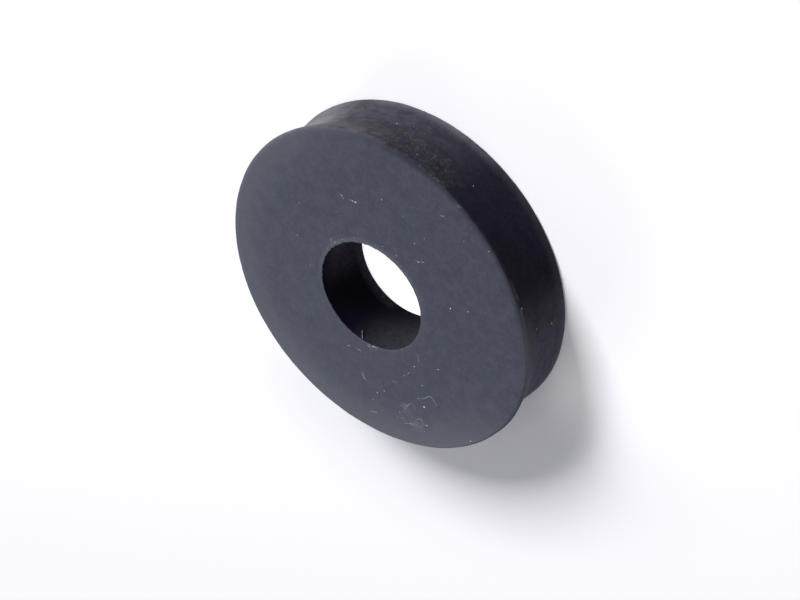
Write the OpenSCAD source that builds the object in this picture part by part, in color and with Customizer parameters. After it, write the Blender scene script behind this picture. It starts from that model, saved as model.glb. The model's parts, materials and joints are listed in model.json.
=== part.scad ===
// Rubber damping disc for a handlebar riser.
// A thick flat washer, die-cut in one piece from black sheet rubber. The sheet is squeezed
// under the cutter and springs back afterwards, which leaves the rim hollow (waisted) and
// both of its edges a little rounded. It lies flat on one face with its axis along +Z, and
// the origin is the centre of that face.

/* [Disc] */
// Outside diameter at the widest part of the rim
disc_d = 38; // [30:0.5:60]
// Thickness between the two flat faces
disc_t = 7.5; // [6:0.5:12]
// Diameter of the bolt hole
bore_d = 13; // [8:0.5:16]

/* [Cut edges] */
// How far the rim is hollowed at mid thickness
waist_depth = 0.45; // [0.1:0.05:0.8]
// Rounding where the rim meets each flat face
rim_round = 0.3; // [0.2:0.05:0.8]
// Rounding where the bolt hole meets each flat face
bore_round = 0.15; // [0.1:0.05:0.4]

/* [Hidden] */
$fn = 180;

disc_r = disc_d / 2;
bore_r = bore_d / 2;
mid_z = disc_t / 2;

// Centre of the lower rim rounding, and its height below mid thickness
rim_round_r = disc_r - rim_round;
round_drop = mid_z - rim_round;

// The hollow of the rim is one arc that leaves both rim roundings without a kink: the
// distance between its centre and theirs is the sum of the two radii.
waist_arc_r = (pow(round_drop, 2) + pow(waist_depth, 2)) / (2 * waist_depth) - rim_round;
waist_centre_r = disc_r - waist_depth + waist_arc_r;

// Where the lower rim rounding runs into the hollow
blend_share = rim_round / (rim_round + waist_arc_r);
blend_r = rim_round_r + (waist_centre_r - rim_round_r) * blend_share;
blend_z = rim_round + round_drop * blend_share;

// Half section before its corners are filled out: straight chords across every rounding
module chord_section() {
    polygon([
        [bore_r, bore_round],
        [bore_r + bore_round, 0],
        [rim_round_r, 0],
        [blend_r, blend_z],
        [blend_r, disc_t - blend_z],
        [rim_round_r, disc_t],
        [bore_r + bore_round, disc_t],
        [bore_r, disc_t - bore_round],
    ]);
}

// The four roundings, one at each corner of the section
module corner_rounds() {
    for (z = [rim_round, disc_t - rim_round])
        translate([rim_round_r, z]) circle(r = rim_round);
    for (z = [bore_round, disc_t - bore_round])
        translate([bore_r + bore_round, z]) circle(r = bore_round);
}

// Half section of the disc, from the bolt hole on the left to the waisted rim on the right
module disc_section() {
    union() {
        difference() {
            chord_section();
            translate([waist_centre_r, mid_z]) circle(r = waist_arc_r);
        }
        corner_rounds();
    }
}

module rubber_disc() {
    color("#4b4e55")
        rotate_extrude()
            disc_section();
}

rubber_disc();
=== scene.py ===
"""Rubber damping disc for a handlebar riser: its finish, its lint, the light and the camera."""

import json
import math
import random

import bmesh
import bpy
from mathutils import Matrix, Quaternion, Vector, noise


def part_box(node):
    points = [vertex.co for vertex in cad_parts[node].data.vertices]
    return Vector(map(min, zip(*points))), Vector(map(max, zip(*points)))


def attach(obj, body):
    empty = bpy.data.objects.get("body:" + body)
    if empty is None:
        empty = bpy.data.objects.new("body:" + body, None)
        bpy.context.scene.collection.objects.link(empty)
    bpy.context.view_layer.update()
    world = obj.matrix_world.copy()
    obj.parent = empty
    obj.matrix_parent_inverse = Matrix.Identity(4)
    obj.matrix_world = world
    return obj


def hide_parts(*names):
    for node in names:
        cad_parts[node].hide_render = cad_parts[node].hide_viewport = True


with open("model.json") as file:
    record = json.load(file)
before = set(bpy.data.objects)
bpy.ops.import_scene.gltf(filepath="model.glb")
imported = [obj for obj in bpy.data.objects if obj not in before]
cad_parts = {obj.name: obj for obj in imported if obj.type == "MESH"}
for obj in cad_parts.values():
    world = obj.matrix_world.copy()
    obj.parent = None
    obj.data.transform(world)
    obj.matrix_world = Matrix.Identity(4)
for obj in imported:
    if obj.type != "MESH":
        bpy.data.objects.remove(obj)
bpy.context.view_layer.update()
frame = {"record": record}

MM = 0.001

# ---------------------------------------------------------------- sizes, in metres

disc_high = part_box("rubber_disc")[1]
THICKNESS = disc_high.z
CAD_RIM_R = disc_high.x
MOUNTS = {mount["name"]: mount for mount in frame["record"]["mounts"]}
CAD_HOLE_R = MOUNTS["bolt_hole"]["dims"]["r_mm"] * MM

# The cut disc is a touch out of round, so its mean radius is under the nominal one and its
# widest points reach it.
RIM_R = CAD_RIM_R - 0.2 * MM
WAIST_DEPTH = 0.45 * MM
RIM_ROUND = 0.3 * MM
HOLE_ROUND = 0.12 * MM

# The punch went in at the upper face: the hole is tight there, wider below and leans a little.
HOLE_TOP_R = CAD_HOLE_R - 0.13 * MM
HOLE_BOTTOM_R = CAD_HOLE_R + 0.15 * MM
HOLE_TOP_SHIFT = Vector((0.0, 0.14, 0.0)) * MM
HOLE_BOTTOM_SHIFT = Vector((0.08, 0.15, 0.0)) * MM
HOLE_REACH = 3.0 * MM

# Two-sided and three-cornered wander of the rim, as (amplitude, direction in degrees)
OVAL_TOP = (0.14 * MM, 0.0)
OVAL_BOTTOM = (0.14 * MM, -99.0)
THREE_CORNERED = (0.125 * MM, 73.5)

# The cutter leaned in a little, so the rim is this much smaller in radius at the lower face
RIM_TAPER = 0.05 * MM

# Shallow chatter from the cutter in the rim's wall. Its noise is read round a circle of this radius
# in the noise's own units, and with so many lumps in a metre of height.
CHATTER = 0.03 * MM
CHATTER_CIRCLE = 6.0
CHATTER_UP = 300.0

# The rim's wall swells below its upper edge on one side, in degrees from +X.
SWELLING = 0.12 * MM
SWOLLEN_SIDE = -158.0

# The hole's upper lip is ragged all round and more torn on one side. Its noise is read round a
# circle too, and fades out between two radii of the face.
LIP_RAGGED = 0.02 * MM
LIP_TORN = 0.06 * MM
LIP_CIRCLE = 16.0
TORN_SIDE = -2.0
LIP_FULL_R = CAD_HOLE_R + 0.15 * MM
LIP_FADED_R = CAD_HOLE_R + 0.8 * MM

# The upper face waves a little under its nominal height, with so many lumps in a metre.
FACE_DIP = 0.010 * MM
FACE_LUMPS = 160.0

# Lint is sunk into this skin, so that nothing stands above the nominal upper face.
LINT_SKIN = 0.035 * MM

# Points of a mesh that are closer than this become one.
WELD = 0.001 * MM


# ---------------------------------------------------------------- small helpers

def smoothstep(low, high, value):
    """0 below low, 1 above high and a smooth ramp between them."""
    share = min(max((value - low) / (high - low), 0.0), 1.0)
    return share * share * (3.0 - 2.0 * share)


def wave(setting, count, angle):
    """Radial wander with count lobes round the disc, highest towards its own direction."""
    amplitude, direction = setting
    return amplitude * math.cos(count * (angle - math.radians(direction)))


def finish_mesh(name, bm, material):
    """Turns a bmesh into an object at the origin, with smooth shading."""
    for face in bm.faces:
        face.smooth = True
    mesh = bpy.data.meshes.new(name)
    bm.to_mesh(mesh)
    bm.free()
    mesh.materials.append(material)
    piece = bpy.data.objects.new(name, mesh)
    bpy.context.scene.collection.objects.link(piece)
    return piece


# ---------------------------------------------------------------- shader expressions

class Value:
    """An output socket that Python's operators combine through Math nodes."""

    def __init__(self, shader, socket):
        self.shader = shader
        self.socket = socket

    def maths(self, operation, *terms):
        return self.shader.add("ShaderNodeMath", {"operation": operation}, dict(enumerate(terms)))

    def __add__(self, other):
        return self.maths("ADD", self, other)

    def __sub__(self, other):
        return self.maths("SUBTRACT", self, other)

    def __mul__(self, other):
        return self.maths("MULTIPLY", self, other)

    __radd__ = __add__
    __rmul__ = __mul__


class Shader:
    """A material, or the world, and the nodes that make it."""

    def __init__(self, owner):
        owner.use_nodes = True
        self.tree = owner.node_tree
        self.tree.nodes.clear()

    def add(self, kind, settings=None, inputs=None, output=0):
        """Adds a node, with its settings first and then its sockets, and returns one output."""
        node = self.tree.nodes.new(kind)
        for name, setting in (settings or {}).items():
            setattr(node, name, setting)
        for name, given in (inputs or {}).items():
            if isinstance(given, Value):
                self.tree.links.new(given.socket, node.inputs[name])
            else:
                node.inputs[name].default_value = given
        return Value(self, node.outputs[output]) if node.outputs else None

    def noise(self, vector, per_mm, detail=3.0, roughness=0.55, distortion=0.0):
        """Soft noise from 0 to 1, with about per_mm lumps in a millimetre."""
        sockets = {"Vector": vector, "Scale": per_mm, "Detail": detail,
                   "Roughness": roughness, "Distortion": distortion}
        return self.add("ShaderNodeTexNoise", {}, sockets, "Fac")

    def ramp(self, value, low, high):
        """Smooth ramp from 0 at low to 1 at high; low may be the larger."""
        sockets = {"Value": value, "From Min": low, "From Max": high}
        return self.add("ShaderNodeMapRange", {"interpolation_type": "SMOOTHSTEP"}, sockets)

    def blend(self, factor, first, second, blend_type="MIX"):
        """Colour blend; a blend type other than MIX works second onto first."""
        settings = {"data_type": "RGBA", "blend_type": blend_type, "clamp_factor": True}
        return self.add("ShaderNodeMix", settings, {0: factor, 6: first, 7: second}, 2)


def grey(level):
    return (level, level, level, 1.0)


# ---------------------------------------------------------------- materials

# The face is painted from the near colour to the far one across the disc: a painted sheen, paler
# away from the camera's side.
FACE_NEAR = (0.0555, 0.0590, 0.0820, 1.0)
FACE_FAR_SHEEN = (0.0720, 0.0780, 0.1035, 1.0)
FACE_PALE = (0.1500, 0.1560, 0.1800, 1.0)
GREENISH = (0.955, 1.020, 0.980, 1.0)
VIOLET = (1.040, 0.975, 1.025, 1.0)
RIM_BARE = (0.0122, 0.0110, 0.0200, 1.0)
RIM_BLOOM = (0.1220, 0.1190, 0.1340, 1.0)
# The rim's grey, pale and edge colours below are painted light: bounce light from the floor, a
# grazing sheen and lit edges.
RIM_BOUNCE_GREY = (0.1000, 0.0930, 0.1260, 1.0)
RIM_TIP_SHEEN = (0.4600, 0.4500, 0.4800, 1.0)
RIM_LIT_GREY = (0.2000, 0.1950, 0.2350, 1.0)
RIM_BEIGE = (0.1160, 0.1060, 0.1130, 1.0)
RIM_OLIVE = (0.1740, 0.1780, 0.1880, 1.0)
HOLE_BARE = (0.0030, 0.0025, 0.0070, 1.0)
HOLE_BLUE = (0.2000, 0.1950, 0.2700, 1.0)
HOLE_LIT_GREY = (0.0360, 0.0355, 0.0440, 1.0)

# The directions, in degrees from +X, that the rim's bloom and its painted grazing sheen face
BLOOM_SIDE = 0.0
TIP_SHEEN_SIDE = -14.0

# Zones round the disc: the direction in degrees from +X, and then the cosines of the angles to
# either side of it at which the zone's finish begins and at which it is full
SHADED_EDGE_SIDE = (-95.0, 0.64, 0.95)
EDGE_SHEEN_SIDE = (75.0, -0.70, 0.10)
HOLE_LIP_HIGHLIGHT = (-40.0, -0.50, 0.50)
DUSTY_FACE = (130.0, 0.30, 0.90)
WORN_RIM = (-60.0, 0.90, 0.985)
EDGE_LIGHT_SIDE = (-60.0, 0.88, 1.00)
BEIGE_RIM = (-42.0, 0.955, 0.995)
SCUFFED_RIM = (-69.0, 0.965, 0.995)
BOUNCE_LIT_RIM = (-160.0, 0.74, 0.99)
BURR_HIGHLIGHT_SIDE = (-135.0, 0.90, 0.98)
BLUE_HOLE = (20.0, 0.70, 0.98)
DARK_HOLE = (50.0, 0.40, 0.80)
LIT_HOLE_SIDE = (165.0, 0.34, 0.97)

# Matted lint on the upper face: its place and its reach in millimetres
FUZZ = [(-13.7, 7.8, 1.3), (-11.5, 7.6, 1.0), (-3.9, 5.3, 0.7), (6.4, -1.0, 1.2)]
FUZZ_COLOUR = (0.2300, 0.2400, 0.2700, 1.0)

# Cotton and dust, each from its dullest to its brightest
LINT_COLOURS = ((0.105, 0.115, 0.145, 1.0), (0.27, 0.29, 0.34, 1.0))
DUST_COLOURS = ((0.16, 0.17, 0.21, 1.0), (0.62, 0.64, 0.68, 1.0))

# Radii that the finish is laid out by, in millimetres. The hole's finish gives way to the rim's
# between the last two, inside the rubber.
RIM_MM = RIM_R / MM
HOLE_MM = CAD_HOLE_R / MM
HOLE_FINISH_MM = 0.6 * RIM_MM
RIM_FINISH_MM = 0.7 * RIM_MM

# The depth that the bump gives the rubber's pores and lumps
BUMP_DEPTH = 0.04 * MM


class Place:
    """Coordinates on the disc in millimetres, for patterns to read."""

    def __init__(self, shader):
        metres = shader.add("ShaderNodeTexCoord", {}, {}, "Object")
        self.shader = shader
        self.mm = shader.add("ShaderNodeVectorMath", {"operation": "SCALE"},
                             {0: metres, "Scale": 1 / MM})
        self.flat = shader.add("ShaderNodeVectorMath", {"operation": "MULTIPLY"},
                               {0: self.mm, 1: (1.0, 1.0, 0.0)})
        self.radius = shader.add("ShaderNodeVectorMath", {"operation": "LENGTH"},
                                 {0: self.flat}, "Value")
        self.outward = shader.add("ShaderNodeVectorMath", {"operation": "NORMALIZE"},
                                  {0: self.flat})
        self.across = shader.add("ShaderNodeSeparateXYZ", {}, {0: self.mm}, "Y")
        self.height = shader.add("ShaderNodeSeparateXYZ", {}, {0: self.mm}, "Z")

    def facing(self, azimuth):
        """Cosine of the angle between a place's own direction and an azimuth in degrees."""
        turn = math.radians(azimuth)
        return self.shader.add("ShaderNodeVectorMath", {"operation": "DOT_PRODUCT"},
                               {0: self.outward, 1: (math.cos(turn), math.sin(turn), 0.0)},
                               "Value")

    def zone(self, setting):
        """1 in the middle of a zone round the disc, and 0 away from it."""
        azimuth, begins, full = setting
        return self.shader.ramp(self.facing(azimuth), begins, full)

    def level(self, low, high):
        """Smooth ramp over the height in millimetres, from 0 at low to 1 at high."""
        return self.shader.ramp(self.height, low, high)

    def ring(self, low, high):
        """Smooth ramp over the radius in millimetres, from 0 at low to 1 at high."""
        return self.shader.ramp(self.radius, low, high)


def face_bloom_and_sheen(sh, at):
    """Cloudy bluish bloom with a fine grain, under a painted sheen that makes it paler away from
    the camera's side.
    """
    # Painted sheen: the face grows paler towards its far side.
    far = sh.ramp(at.across, -19.0, 17.0)
    clouds = sh.ramp(sh.noise(at.mm, 0.30, 4.0, 0.65, 0.5), 0.34, 0.66)
    colour = sh.blend(far * 0.85 + (clouds - 0.5) * 0.22 + 0.06, FACE_NEAR, FACE_FAR_SHEEN)
    hue = sh.ramp(sh.noise(at.mm, 0.9, 4.0, 0.65, 0.6), 0.40, 0.60)
    colour = sh.blend(1.0, colour, sh.blend(hue, GREENISH, VIOLET), "MULTIPLY")
    grain = sh.ramp(sh.noise(at.mm, 2.4, 3.0, 0.6), 0.30, 0.72)
    pale = sh.ramp(sh.noise(at.flat, 0.7, 6.0, 0.72, 0.4), 0.36, 0.68)
    return sh.blend(grain * 0.10 + pale * 0.16, colour, FACE_PALE)


def face_edge(sh, at, colour):
    """Outer edge of the face: painted shade darkening it on one side, a painted sheen paler round
    the rest, dusty at the back.
    """
    # Painted shade: the face darkens over its last millimetre towards the outer edge on the -Y
    # side, as its rounding turns from the light.
    edge_shade = at.ring(RIM_MM - 1.1, RIM_MM) * at.zone(SHADED_EDGE_SIDE)
    colour = sh.blend(edge_shade * 0.70, colour, RIM_BARE)
    # Painted sheen: the face paler towards its outer edge round the +Y side.
    edge_sheen = at.ring(RIM_MM - 0.7, RIM_MM - 0.1) * 0.20 + at.ring(RIM_MM - 5.5, RIM_MM + 0.6) * 0.42
    edge_sheen = edge_sheen * at.zone(EDGE_SHEEN_SIDE)
    dusty = at.ring(RIM_MM - 8.0, RIM_MM) * at.zone(DUSTY_FACE)
    return sh.blend(edge_sheen + dusty * 0.20, colour, FACE_PALE)


def face_fuzz(sh, at, colour):
    """Patches of matted lint, too fine to be threads."""
    for x_mm, y_mm, reach in FUZZ:
        away = sh.add("ShaderNodeVectorMath", {"operation": "DISTANCE"},
                      {0: at.flat, 1: (x_mm, y_mm, 0.0)}, "Value")
        matted = sh.ramp(sh.noise(at.flat, 2.0, 3.0, 0.7, 2.0), 0.47, 0.66)
        colour = sh.blend(sh.ramp(away, reach, 0.4 * reach) * matted * 0.75, colour, FUZZ_COLOUR)
    return colour


def face_finish(sh, at):
    """Moulded face: cloudy bloom under a painted sheen, an uneven outer edge with painted shade and
    sheen, matted lint and a painted highlight in pale flecks on the hole's lip.
    """
    colour = face_fuzz(sh, at, face_edge(sh, at, face_bloom_and_sheen(sh, at)))
    # Painted highlight: a pale line in flecks along the hole's upper lip on the -40° side.
    highlight_share = sh.ramp(sh.noise(at.flat, 2.2, 4.0, 0.7), 0.30, 0.70)
    lip = at.ring(HOLE_MM + 0.60, HOLE_MM)
    return sh.blend(lip * at.zone(HOLE_LIP_HIGHLIGHT) * (0.15 + 0.45 * highlight_share), colour, FACE_PALE)


def rim_bloom_and_bounce_light(sh, at, mottle):
    """Bare dark rubber, greyed by painted bounce light from the floor on one side and bloomed on
    the other, and grained.
    """
    worn = at.zone(WORN_RIM) * at.level(3.0, 5.0)
    # Painted light bounced up from the floor: the rim greyer in patches on the -160° side, paler
    # still towards the top.
    bounce_lit = at.zone(BOUNCE_LIT_RIM)
    colour = sh.blend(bounce_lit * (0.35 + 0.55 * mottle) + 0.07 * mottle, RIM_BARE, RIM_BOUNCE_GREY)
    colour = sh.blend(bounce_lit * (0.12 + 0.32 * at.level(4.6, 6.8)), colour, RIM_LIT_GREY)
    side = sh.add("ShaderNodeMapRange", {},
                  {"Value": at.facing(BLOOM_SIDE), "From Min": 0.10, "From Max": 0.95})
    bloom = side * (0.78 + 0.14 * at.level(3.4, 6.2) - 0.45 * worn)
    colour = sh.blend(bloom * (0.34 + 0.66 * mottle), colour, RIM_BLOOM)
    grain = sh.ramp(sh.noise(at.mm, 2.8, 4.0, 0.8), 0.46, 0.70)
    return sh.blend(grain * (0.04 + 0.20 * bounce_lit + 0.12 * bloom), colour, RIM_OLIVE)


def rim_patches(sh, at, mottle, colour):
    """The painted grazing sheen on one stretch of the rim, the beige stretch beside it and the
    scuffs after that.
    """
    # Painted grazing sheen: the rim pale round its -14° side, with a wandering edge.
    wander = (sh.noise(at.mm, 0.25, 4.0, 0.6) - 0.5) * 0.045
    tip_sheen = (sh.ramp(at.facing(TIP_SHEEN_SIDE) + 0.0054 * at.height + wander, 0.934, 1.038)
           * sh.ramp(at.height + wander * 20.0, 7.8, 6.4) * (0.76 + 0.30 * mottle))
    colour = sh.blend(tip_sheen * (0.32 + 0.23 * at.level(0.5, 5.5)), colour, RIM_TIP_SHEEN)

    beige = (at.zone(BEIGE_RIM) * at.level(3.6, 5.8) * at.level(7.5, 7.2)
             * sh.ramp(sh.noise(at.mm, 0.8, 3.0), 0.25, 0.60))
    colour = sh.blend(beige * (0.42 + 0.30 * at.level(5.6, 6.3)), colour, RIM_BEIGE)

    worn = at.zone(WORN_RIM) * at.level(3.0, 5.0)
    flecks = sh.ramp(sh.noise(at.mm, 1.4, 4.0, 0.8, 1.2), 0.52, 0.64)
    scuffed = (at.zone(SCUFFED_RIM) * at.level(2.6, 5.0)
               * sh.ramp(sh.noise(at.mm, 0.6, 3.0), 0.34, 0.56))
    return sh.blend(flecks * (0.02 + 0.08 * worn + 0.20 * scuffed) + 0.05 * scuffed,
                    colour, RIM_OLIVE)


def rim_finish(sh, at):
    """Cut rim: bare, bloomed and scuffed stretches with painted sheen and bounce light, a painted
    highlight along its lower edge and another on the burred top edge.
    """
    streaky = sh.add("ShaderNodeVectorMath", {"operation": "MULTIPLY"},
                     {0: at.mm, 1: (0.4, 0.4, 1.0)})
    patches = sh.ramp(sh.noise(streaky, 0.75, 4.0, 0.7, 0.6), 0.36, 0.64)
    mottle = sh.ramp(sh.noise(at.mm, 1.1, 5.0, 0.8, 0.4), 0.36, 0.66) * 0.5 + patches * 0.5
    colour = rim_patches(sh, at, mottle, rim_bloom_and_bounce_light(sh, at, mottle))

    # Painted highlight: the rim paler towards its lower edge, most on the -60° and -160° sides.
    highlight_share = 0.24 + 0.42 * at.zone(EDGE_LIGHT_SIDE) + 0.45 * at.zone(BOUNCE_LIT_RIM)
    colour = sh.blend(at.level(1.35, 0.0) * highlight_share * (0.6 + 0.4 * mottle), colour, RIM_LIT_GREY)
    # Painted highlight: a pale line on the burred rounding just under the upper edge, on the -135°
    # side.
    burr_highlight = (at.level(6.90, 7.05) * at.level(7.34, 7.26) * at.zone(BURR_HIGHLIGHT_SIDE)
            * sh.ramp(sh.noise(at.flat, 0.9, 3.0), 0.34, 0.54))
    return sh.blend(burr_highlight * 0.50, colour, FACE_PALE)


def hole_finish(sh, at):
    """Wall of the hole: nearly black, bluish low down on one side, and painted lighter on the side
    facing the window, with painted shade lower down.
    """
    grain = sh.ramp(sh.noise(at.mm, 2.0, 5.0, 0.8, 0.4), 0.30, 0.72)
    blue = at.zone(BLUE_HOLE) * at.level(7.4, 2.6) + at.level(1.7, 0.4) * at.zone(DARK_HOLE) * 1.6
    colour = sh.blend(blue * (0.25 + 0.55 * grain), HOLE_BARE, HOLE_BLUE)
    # Painted light on the wall that faces the window, with painted shade darkening it further down
    # the hole.
    lit_towards_top = 0.25 + 0.75 * at.level(0.3, 6.3)
    return sh.blend(at.zone(LIT_HOLE_SIDE) * lit_towards_top * (0.45 + 0.55 * grain), colour, HOLE_LIT_GREY)


def make_rubber():
    """Black sheet rubber: bluish bloom on the moulded faces, bare darker rubber where cut, and on
    both painted sheen, highlights, bounce light and shade.
    """
    material = bpy.data.materials.new("black_rubber")
    sh = Shader(material)
    at = Place(sh)
    top_mm = (THICKNESS - LINT_SKIN) / MM
    wander = (sh.noise(at.mm, 1.6, 3.0) - 0.5) * 0.12
    below = at.height + wander
    cut = sh.ramp(below, top_mm - 0.03, top_mm - 0.14) * sh.ramp(below, 0.02, 0.14)
    outer = at.ring(HOLE_FINISH_MM, RIM_FINISH_MM)
    cut_colour = sh.blend(outer, hole_finish(sh, at), rim_finish(sh, at))
    colour = sh.blend(cut, face_finish(sh, at), cut_colour)

    pores = sh.noise(at.mm, 7.0, 4.0, 0.7)
    lumps = sh.noise(at.mm, 1.0, 3.0, 0.6)
    bump = sh.add("ShaderNodeBump", {}, {"Strength": 0.35, "Distance": BUMP_DEPTH,
                                         "Height": pores * 0.25 + lumps})
    surface = sh.add("ShaderNodeBsdfPrincipled", {},
                     {"Base Color": colour, "Roughness": 0.70 + 0.14 * pores, "Normal": bump,
                      "Specular IOR Level": 0.04})
    sh.add("ShaderNodeOutputMaterial", {}, {"Surface": surface})
    return material


def make_lint(name, colours):
    """Cotton fibres or dust, uneven in tone from the duller colour to the brighter one."""
    material = bpy.data.materials.new(name)
    sh = Shader(material)
    at = Place(sh)
    dull, bright = colours
    tone = sh.ramp(sh.noise(at.mm, 2.2, 2.0), 0.35, 0.65)
    surface = sh.add("ShaderNodeBsdfPrincipled", {},
                     {"Base Color": sh.blend(tone, dull, bright), "Roughness": 0.8,
                      "Specular IOR Level": 0.2})
    sh.add("ShaderNodeOutputMaterial", {}, {"Surface": surface})
    return material


def seen_directly(sh):
    """1 for what the camera, a reflection or a refraction shows, 0 for the light that falls."""
    rays = [sh.add("ShaderNodeLightPath", {}, {}, name)
            for name in ("Is Camera Ray", "Is Glossy Ray", "Is Transmission Ray")]
    return rays[0] + rays[1] + rays[2]


# The sweep is white to the camera and sends less light back at the disc.
SWEEP_COLOUR = (0.975, 0.965, 0.998, 1.0)
SWEEP_BOUNCE = 0.22

# It glows to the camera as well: fully in the hole and far off, a little round the disc, and not
# at all on the side of the shadow. The glow in the hole is painted light that hides the shade
# falling there, and its lack beside the disc paints the shadow darker. Places where the glow
# changes are in millimetres from the axis.
FULL_GLOW = 0.92
SWEEP_GLOW = 0.12
HOLE_FADE_MM = HOLE_MM + 1.2
SHADOW = (138.0, 0.42, 0.78)
SHADOW_MM = RIM_MM + 8.0
SHADOW_END_MM = RIM_MM + 26.0
BACKDROP_MM = 250.0
BACKDROP_FULL_MM = 1300.0


def make_floor_white():
    """White sweep: bright to the camera, a quieter white to the light that it bounces."""
    material = bpy.data.materials.new("white_sweep")
    sh = Shader(material)
    at = Place(sh)
    seen = seen_directly(sh)
    in_hole = at.ring(HOLE_FADE_MM, HOLE_MM)
    far_off = at.ring(BACKDROP_MM, BACKDROP_FULL_MM)
    shaded = at.zone(SHADOW) * at.ring(SHADOW_END_MM, SHADOW_MM)
    surface = sh.add("ShaderNodeBsdfDiffuse", {},
                     {"Color": sh.blend(seen, grey(SWEEP_BOUNCE), SWEEP_COLOUR)})
    around = sh.blend(shaded, grey(SWEEP_GLOW), grey(0.0))
    glow_colour = sh.blend(in_hole + far_off, around, grey(FULL_GLOW))
    glow = sh.add("ShaderNodeEmission", {},
                  {"Color": sh.blend(seen, grey(0.0), glow_colour), "Strength": 1.0})
    both = sh.add("ShaderNodeAddShader", {}, {0: surface, 1: glow})
    sh.add("ShaderNodeOutputMaterial", {}, {"Surface": both})
    return material


# ---------------------------------------------------------------- the disc

def arc(centre, radius, start, end, steps):
    """Points of a circular arc in the half section, with its angles in degrees."""
    turns = [math.radians(start + (end - start) * i / steps) for i in range(steps + 1)]
    return [Vector((centre[0] + radius * math.cos(a), 0.0, centre[1] + radius * math.sin(a)))
            for a in turns]


def straight(start, end, steps):
    """Points strictly between the ends of a straight stretch of the half section."""
    return [start.lerp(end, i / steps) for i in range(1, steps)]


def disc_section():
    """Closed outline of the half section: roundings, waisted rim, flat faces, hole wall."""
    mid = THICKNESS / 2
    round_r = RIM_R - RIM_ROUND
    drop = mid - RIM_ROUND
    waist_arc_r = (drop ** 2 + WAIST_DEPTH ** 2) / (2 * WAIST_DEPTH) - RIM_ROUND
    waist_r = RIM_R - WAIST_DEPTH + waist_arc_r
    lean = math.degrees(math.atan2(drop, waist_r - round_r))
    hole_r = CAD_HOLE_R + HOLE_ROUND

    low_rim = arc((round_r, RIM_ROUND), RIM_ROUND, -90, lean, 8)
    waist = arc((waist_r, mid), waist_arc_r, 180 + lean, 180 - lean, 24)
    high_rim = arc((round_r, THICKNESS - RIM_ROUND), RIM_ROUND, -lean, 90, 8)
    high_hole = arc((hole_r, THICKNESS - HOLE_ROUND), HOLE_ROUND, 90, 180, 5)
    low_hole = arc((hole_r, HOLE_ROUND), HOLE_ROUND, 180, 270, 5)
    return (low_rim + waist[1:-1] + high_rim
            + straight(high_rim[-1], high_hole[0], 40) + high_hole
            + straight(high_hole[-1], low_hole[0], 16) + low_hole
            + straight(low_hole[-1], low_rim[0], 40))


def rim_wander(place, radius, angle, up):
    """How far out the rim has a point: out of round, with chatter and a swelling in its wall."""
    to_rim = smoothstep(CAD_HOLE_R, RIM_R, radius)
    oval = wave(OVAL_TOP, 2, angle) * up + wave(OVAL_BOTTOM, 2, angle) * (1.0 - up)
    moved = to_rim * (oval + wave(THREE_CORNERED, 3, angle) - RIM_TAPER * (1.0 - up))
    on_wall = smoothstep(RIM_R - 1.0 * MM, RIM_R - 0.5 * MM, radius)
    along = Vector((CHATTER_CIRCLE * math.cos(angle), CHATTER_CIRCLE * math.sin(angle),
                    CHATTER_UP * place.z))
    moved += on_wall * noise.fractal(along, 1.0, 2.0, 4) * CHATTER
    swollen = smoothstep(0.93, 1.0, math.cos(angle - math.radians(SWOLLEN_SIDE)))
    return moved + on_wall * swollen * smoothstep(0.55, 0.85, up) * SWELLING


def hole_wander(radius, angle, up, to_hole):
    """How far out the hole has a point: tight at the top, wider below, with a ragged upper lip."""
    taper = (HOLE_TOP_R - CAD_HOLE_R) * up + (HOLE_BOTTOM_R - CAD_HOLE_R) * (1.0 - up)
    at_lip = smoothstep(0.90, 1.0, up) * (1.0 - smoothstep(LIP_FULL_R, LIP_FADED_R, radius))
    torn = smoothstep(-0.15, 0.75, math.cos(angle - math.radians(TORN_SIDE)))
    around = Vector((LIP_CIRCLE * math.cos(angle), LIP_CIRCLE * math.sin(angle), 0.0))
    ragged = noise.fractal(around, 0.7, 2.0, 5)
    return to_hole * taper + at_lip * (LIP_RAGGED + LIP_TORN * torn) * ragged


def face_sink(place, up):
    """How far a point of the upper half sinks, for the lint's skin and the face's slight wave."""
    if up <= 0.5:
        return 0.0
    dip = FACE_DIP * (1.0 + noise.noise(Vector((place.x, place.y, 0.0)) * FACE_LUMPS))
    return (LINT_SKIN + dip) * smoothstep(0.5, 1.0, up)


def as_cut(place):
    """Moves a point of the true disc to where the real, slightly uneven rubber has it."""
    radius = math.hypot(place.x, place.y)
    angle = math.atan2(place.y, place.x)
    up = place.z / THICKNESS
    to_hole = 1.0 - smoothstep(CAD_HOLE_R, CAD_HOLE_R + HOLE_REACH, radius)
    reach = radius + rim_wander(place, radius, angle, up) + hole_wander(radius, angle, up, to_hole)
    lean = (HOLE_TOP_SHIFT * up + HOLE_BOTTOM_SHIFT * (1.0 - up)) * to_hole
    height = place.z - face_sink(place, up)
    return Vector((reach * math.cos(angle), reach * math.sin(angle), height)) + lean


# The disc is made of equal wedges, each spun in so many steps.
WEDGES = 24
WEDGE_STEPS = 20


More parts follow.
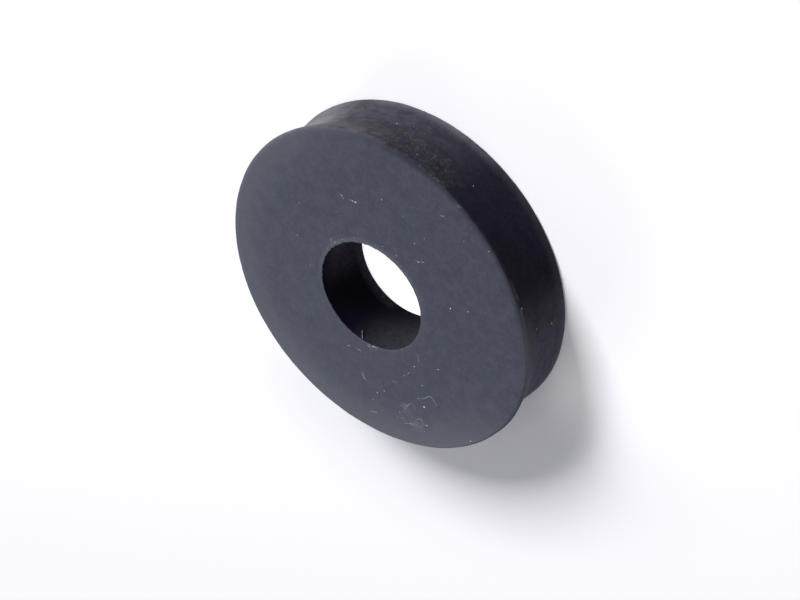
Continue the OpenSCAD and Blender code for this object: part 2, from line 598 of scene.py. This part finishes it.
def make_disc(material):
    """Spins a wedge of the disc, copies it round the axis and makes it as uneven as cut rubber."""
    bm = bmesh.new()
    outline = [bm.verts.new(point) for point in disc_section()]
    for index, vert in enumerate(outline):
        bm.edges.new((vert, outline[(index + 1) % len(outline)]))
    wedge = math.tau / WEDGES
    bmesh.ops.spin(bm, geom=bm.verts[:] + bm.edges[:], cent=(0, 0, 0), axis=(0, 0, 1),
                   angle=wedge, steps=WEDGE_STEPS, use_merge=False, use_duplicate=False)
    bmesh.ops.spin(bm, geom=bm.verts[:] + bm.edges[:] + bm.faces[:], cent=(0, 0, 0),
                   axis=(0, 0, 1), angle=math.tau - wedge, steps=WEDGES - 1,
                   use_merge=False, use_duplicate=True)
    bmesh.ops.remove_doubles(bm, verts=bm.verts[:], dist=WELD)
    for vert in bm.verts:
        vert.co = as_cut(vert.co)
    bmesh.ops.recalc_face_normals(bm, faces=bm.faces[:])
    return finish_mesh("rubber_disc_body", bm, material)


# ---------------------------------------------------------------- lint

# Places on the upper face in millimetres. A fibre is its radius and a few points along it.
FIBRES = [
    (0.070, [(1.48, -15.68), (1.28, -15.90), (1.08, -16.04)]),
    (0.058, [(0.0, -8.8), (-0.5, -9.1), (-0.9, -9.8)]),
    (0.120, [(-2.35, 8.7), (-2.46, 8.2), (-2.55, 7.8)]),
    (0.090, [(-3.15, 7.6), (-3.45, 7.3), (-3.80, 7.1)]),
    (0.080, [(-3.9, 5.5), (-4.2, 5.0), (-4.7, 4.5)]),
    (0.050, [(-7.6, 0.0), (-8.1, 0.4), (-8.5, 0.9)]),
    (0.110, [(-5.5, 9.4), (-6.0, 9.7), (-6.3, 9.9), (-6.8, 9.6)]),
    (0.065, [(-11.4, 4.9), (-11.9, 4.0), (-11.9, 2.9), (-12.5, 2.9), (-13.3, 3.1)]),
    (0.065, [(-11.3, 7.8), (-11.5, 7.0), (-11.4, 5.9), (-12.3, 6.3)]),
    (0.058, [(-11.8, 9.2), (-12.4, 9.1), (-12.8, 8.8)]),
    (0.070, [(-12.9, 9.4), (-13.2, 8.6), (-13.6, 8.4), (-13.9, 7.9)]),
    (0.065, [(-13.2, 7.4), (-13.4, 6.7), (-13.9, 6.7), (-14.3, 7.6)]),
    (0.090, [(-13.6, 8.2), (-14.2, 8.3), (-14.0, 7.6)]),
    (0.080, [(-9.6, 13.1), (-9.7, 12.5), (-10.2, 12.1)]),
    (0.050, [(-8.6, 4.3), (-8.8, 3.7), (-8.7, 3.1)]),
    (0.065, [(-8.4, 6.3), (-8.8, 5.8)]),
    (0.058, [(9.7, -6.6), (9.3, -6.7), (9.1, -6.5)]),
    (0.058, [(8.6, -7.2), (8.2, -7.4), (7.9, -7.7)]),
    (0.058, [(1.2, -18.3), (0.7, -18.4)]),
]
HOLE_FIBRE = (0.050, [(-2.13, 5.96, 6.52), (-2.46, 5.83, 6.96), (-2.82, 5.66, 7.40)])

# A speck is a place and the size of its crumb.
SPECKS = [
    (9.4, -6.7, 0.16), (8.3, -7.4, 0.17), (8.0, -7.6, 0.20), (14.6, 1.5, 0.14),
    (12.1, -0.8, 0.12), (9.9, 2.8, 0.10), (6.7, 4.4, 0.10), (6.4, -10.8, 0.12),
    (1.0, -18.2, 0.14), (3.8, -11.7, 0.10), (-1.8, -15.9, 0.13), (0.8, -12.0, 0.10),
    (1.1, -10.4, 0.10), (1.4, -7.2, 0.13), (-0.5, -9.1, 0.12), (-4.0, -17.6, 0.12),
    (-6.0, -8.4, 0.15), (-7.3, -10.1, 0.12), (-8.5, 1.8, 0.15), (-10.2, -0.9, 0.15),
    (-8.7, 8.5, 0.14), (-8.4, 9.7, 0.14), (-8.8, 11.1, 0.14), (-10.3, 10.9, 0.12),
    (-12.6, 4.9, 0.22), (-11.6, 8.8, 0.26), (-14.4, 6.6, 0.22), (-13.5, 8.1, 0.17),
    (-18.3, 2.5, 0.15), (-8.4, 6.2, 0.10), (-2.5, 8.2, 0.17), (-3.9, 5.6, 0.13),
    (-4.6, 4.9, 0.12), (-6.3, 1.7, 0.08), (-2.4, 8.4, 0.17), (6.3, -2.4, 0.13),
    (6.6, -1.2, 0.12), (6.7, 0.3, 0.10), (5.6, -4.0, 0.10), (3.0, -6.5, 0.09),
    (-11.9, 9.7, 0.11),
]
SOFT_SPECKS = [(-10.6, 2.8, 0.30), (-13.9, 8.9, 0.24), (-12.0, 7.4, 0.20), (-14.8, 7.6, 0.26),
               (-12.4, 11.6, 0.22)]

# A speck on the rim is its direction in degrees, its height and its size in millimetres.
RIM_SPECKS = [
    (-84.8, 4.12, 0.12), (-122.8, 7.05, 0.20), (-136.8, 2.22, 0.24), (-138.0, 1.95, 0.14),
    (-134.0, 4.9, 0.11), (-139.5, 4.1, 0.10), (-131.0, 5.4, 0.09), (-143.0, 5.2, 0.10),
    (-53.0, 3.2, 0.10), (-58.0, 2.6, 0.10), (-74.0, 5.9, 0.11), (-67.0, 6.1, 0.11),
]

# A fibre is thinner by this factor at its ends.
FIBRE_END = 0.7

# Half the thickness of a crumb, and how far its middle is above the face
CRUMB_HALF = 0.75 * LINT_SKIN
CRUMB_RISE = 0.2 * LINT_SKIN

# Seeds for the crumbs' uneven widths
FACE_SEED = 7
RIM_SEED = 11


def face_height(x, y):
    """Height of the uneven upper face under a place on it."""
    return as_cut(Vector((x, y, THICKNESS))).z


def lie_on_face(place, radius_mm):
    """Point for a fibre at a place on the upper face, sunk until only its top shows."""
    x, y = place[0] * MM, place[1] * MM
    return x, y, face_height(x, y) + LINT_SKIN - radius_mm * MM


def add_thread(curve, radius, places):
    """Adds a thread through a few places to a curve."""
    spline = curve.splines.new("NURBS")
    spline.points.add(len(places) - 1)
    spline.order_u = min(3, len(places))
    spline.use_endpoint_u = True
    ends = (0, len(places) - 1)
    for index, (point, place) in enumerate(zip(spline.points, places)):
        point.co = (*place, 1.0)
        point.radius = radius * (FIBRE_END if index in ends else 1.0)


def make_fibres(material):
    """Cotton fibres, as thin round threads: most lie on the face, one hangs in the hole."""
    curve = bpy.data.curves.new("lint_fibres", "CURVE")
    curve.dimensions = "3D"
    curve.resolution_u = 6
    curve.bevel_depth = MM
    curve.bevel_resolution = 1
    curve.use_fill_caps = True
    for radius, path in FIBRES:
        add_thread(curve, radius, [lie_on_face(place, radius) for place in path])
    radius, path = HOLE_FIBRE
    add_thread(curve, radius, [tuple(value * MM for value in place) for place in path])
    source = bpy.data.objects.new("lint_fibres_path", curve)
    mesh = bpy.data.meshes.new_from_object(source)
    bm = bmesh.new()
    bm.from_mesh(mesh)
    bmesh.ops.remove_doubles(bm, verts=bm.verts[:], dist=WELD)
    bmesh.ops.recalc_face_normals(bm, faces=bm.faces[:])
    bpy.data.objects.remove(source)
    bpy.data.meshes.remove(mesh)
    return finish_mesh("lint_fibres", bm, material)


def half_width(draw, size_mm):
    """Half the width of a crumb, up to 30 % off its nominal size."""
    return size_mm * MM / 2 * draw.uniform(0.7, 1.3)


def make_specks(name, material, places):
    """Crumbs of dust half sunk in the upper face."""
    draw = random.Random(FACE_SEED)
    bm = bmesh.new()
    for x_mm, y_mm, size in places:
        x, y = x_mm * MM, y_mm * MM
        spread = Matrix.Diagonal((half_width(draw, size), half_width(draw, size),
                                  CRUMB_HALF, 1.0))
        turn = Matrix.Rotation(draw.uniform(0.0, math.pi), 4, "Z")
        at = Matrix.Translation((x, y, face_height(x, y) + CRUMB_RISE))
        bmesh.ops.create_icosphere(bm, subdivisions=2, radius=1.0, matrix=at @ turn @ spread)
    return finish_mesh(name, bm, material)


def rim_place(azimuth, height_mm):
    """Point of the waisted rim at a direction in degrees and a height in millimetres."""
    height = height_mm * MM
    mid = THICKNESS / 2
    off_middle = (height - mid) / (mid - RIM_ROUND)
    waist = WAIST_DEPTH * max(0.0, 1.0 - off_middle ** 2)
    turn = math.radians(azimuth)
    radius = RIM_R - waist
    return as_cut(Vector((radius * math.cos(turn), radius * math.sin(turn), height)))


def make_rim_specks(material):
    """Crumbs of dust that cling to the rim, flattened against it."""
    draw = random.Random(RIM_SEED)
    bm = bmesh.new()
    for azimuth, height_mm, size in RIM_SPECKS:
        spread = Matrix.Diagonal((CRUMB_HALF, half_width(draw, size),
                                  half_width(draw, size), 1.0))
        turn = Matrix.Rotation(math.radians(azimuth), 4, "Z")
        at = Matrix.Translation(rim_place(azimuth, height_mm))
        bmesh.ops.create_icosphere(bm, subdivisions=2, radius=1.0, matrix=at @ turn @ spread)
    return finish_mesh("rim_specks", bm, material)


# ---------------------------------------------------------------- stage, light and camera

# The sweep glows fully well before its edge, so the edge doesn't show against the white room.
FLOOR_SIZE = 3.0


def make_floor(material):
    """Level white sweep that the disc lies on."""
    bm = bmesh.new()
    bmesh.ops.create_grid(bm, x_segments=1, y_segments=1, size=FLOOR_SIZE)
    floor = finish_mesh("white_floor", bm, material)


def softbox(name, azimuth, elevation, distance, size, watts, colour):
    """Square area lamp aimed at the disc, placed by its compass angle and its height angle."""
    lamp = bpy.data.lights.new(name, "AREA")
    lamp.shape = "SQUARE"
    lamp.size = size
    lamp.energy = watts
    lamp.color = colour
    turn, rise = math.radians(azimuth), math.radians(elevation)
    towards = Vector((math.cos(turn) * math.cos(rise), math.sin(turn) * math.cos(rise),
                      math.sin(rise)))
    light = bpy.data.objects.new(name, lamp)
    light.location = towards * distance
    light.rotation_mode = "QUATERNION"
    light.rotation_quaternion = (-towards).to_track_quat("-Z", "Y")
    bpy.context.scene.collection.objects.link(light)


def light_scene():
    """A window on the +X side, a low one beyond the disc, an overhead, a low fill and the room."""
    softbox("window", -27, 31, 0.60, 0.20, 4.4, (0.98, 0.98, 1.0))
    softbox("far_window", 92, 22, 0.60, 0.34, 1.15, (0.95, 0.97, 1.0))
    softbox("ceiling", -80, 76, 0.70, 0.50, 0.55, (0.96, 0.97, 1.0))
    softbox("table_glow", 175, 9, 0.60, 0.25, 0.95, (0.97, 0.96, 1.0))
    world = bpy.data.worlds.new("room")
    bpy.context.scene.world = world
    sh = Shader(world)
    seen = seen_directly(sh)
    dim = sh.add("ShaderNodeBackground", {}, {"Color": (0.90, 0.93, 1.0, 1.0), "Strength": 0.13})
    white = sh.add("ShaderNodeBackground", {}, {"Color": grey(1.0), "Strength": 1.0})
    both = sh.add("ShaderNodeMixShader", {}, {0: seen, 1: dim, 2: white})
    sh.add("ShaderNodeOutputWorld", {}, {"Surface": both})


# The camera's height angle and roll in degrees, its distance, its lens in millimetres and the
# point at the middle of its frame
VIEW_ELEVATION = 39.95
VIEW_ROLL = -129.61
VIEW_DISTANCE = 129.4 * MM
VIEW_LENS = 56.46
LOOK_AT = Vector((-2.19, -1.38, 5.85)) * MM


def make_camera():
    """Camera on the -Y side, looking down on the upper face and rolled on its side."""
    rise = math.radians(VIEW_ELEVATION)
    back = Vector((0.0, -math.cos(rise), math.sin(rise)))
    lens = bpy.data.cameras.new("camera")
    lens.lens = VIEW_LENS
    lens.clip_start = 0.01
    lens.clip_end = 20.0
    camera = bpy.data.objects.new("camera", lens)
    camera.location = LOOK_AT + back * VIEW_DISTANCE
    camera.rotation_mode = "QUATERNION"
    roll = Quaternion((0.0, 0.0, 1.0), math.radians(VIEW_ROLL))
    camera.rotation_quaternion = (-back).to_track_quat("-Z", "Y") @ roll
    bpy.context.scene.collection.objects.link(camera)
    bpy.context.scene.camera = camera


# ---------------------------------------------------------------- build

make_camera()
make_floor(make_floor_white())
light_scene()
bpy.context.scene.view_settings.view_transform = "Standard"

disc = make_disc(make_rubber())
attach(disc, "root")
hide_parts("rubber_disc")

grey_lint = make_lint("grey_lint", LINT_COLOURS)
pale_dust = make_lint("pale_dust", DUST_COLOURS)
for lint in (make_fibres(grey_lint), make_specks("dust_specks", pale_dust, SPECKS),
             make_specks("soft_specks", grey_lint, SOFT_SPECKS), make_rim_specks(pale_dust)):
    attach(lint, "root")
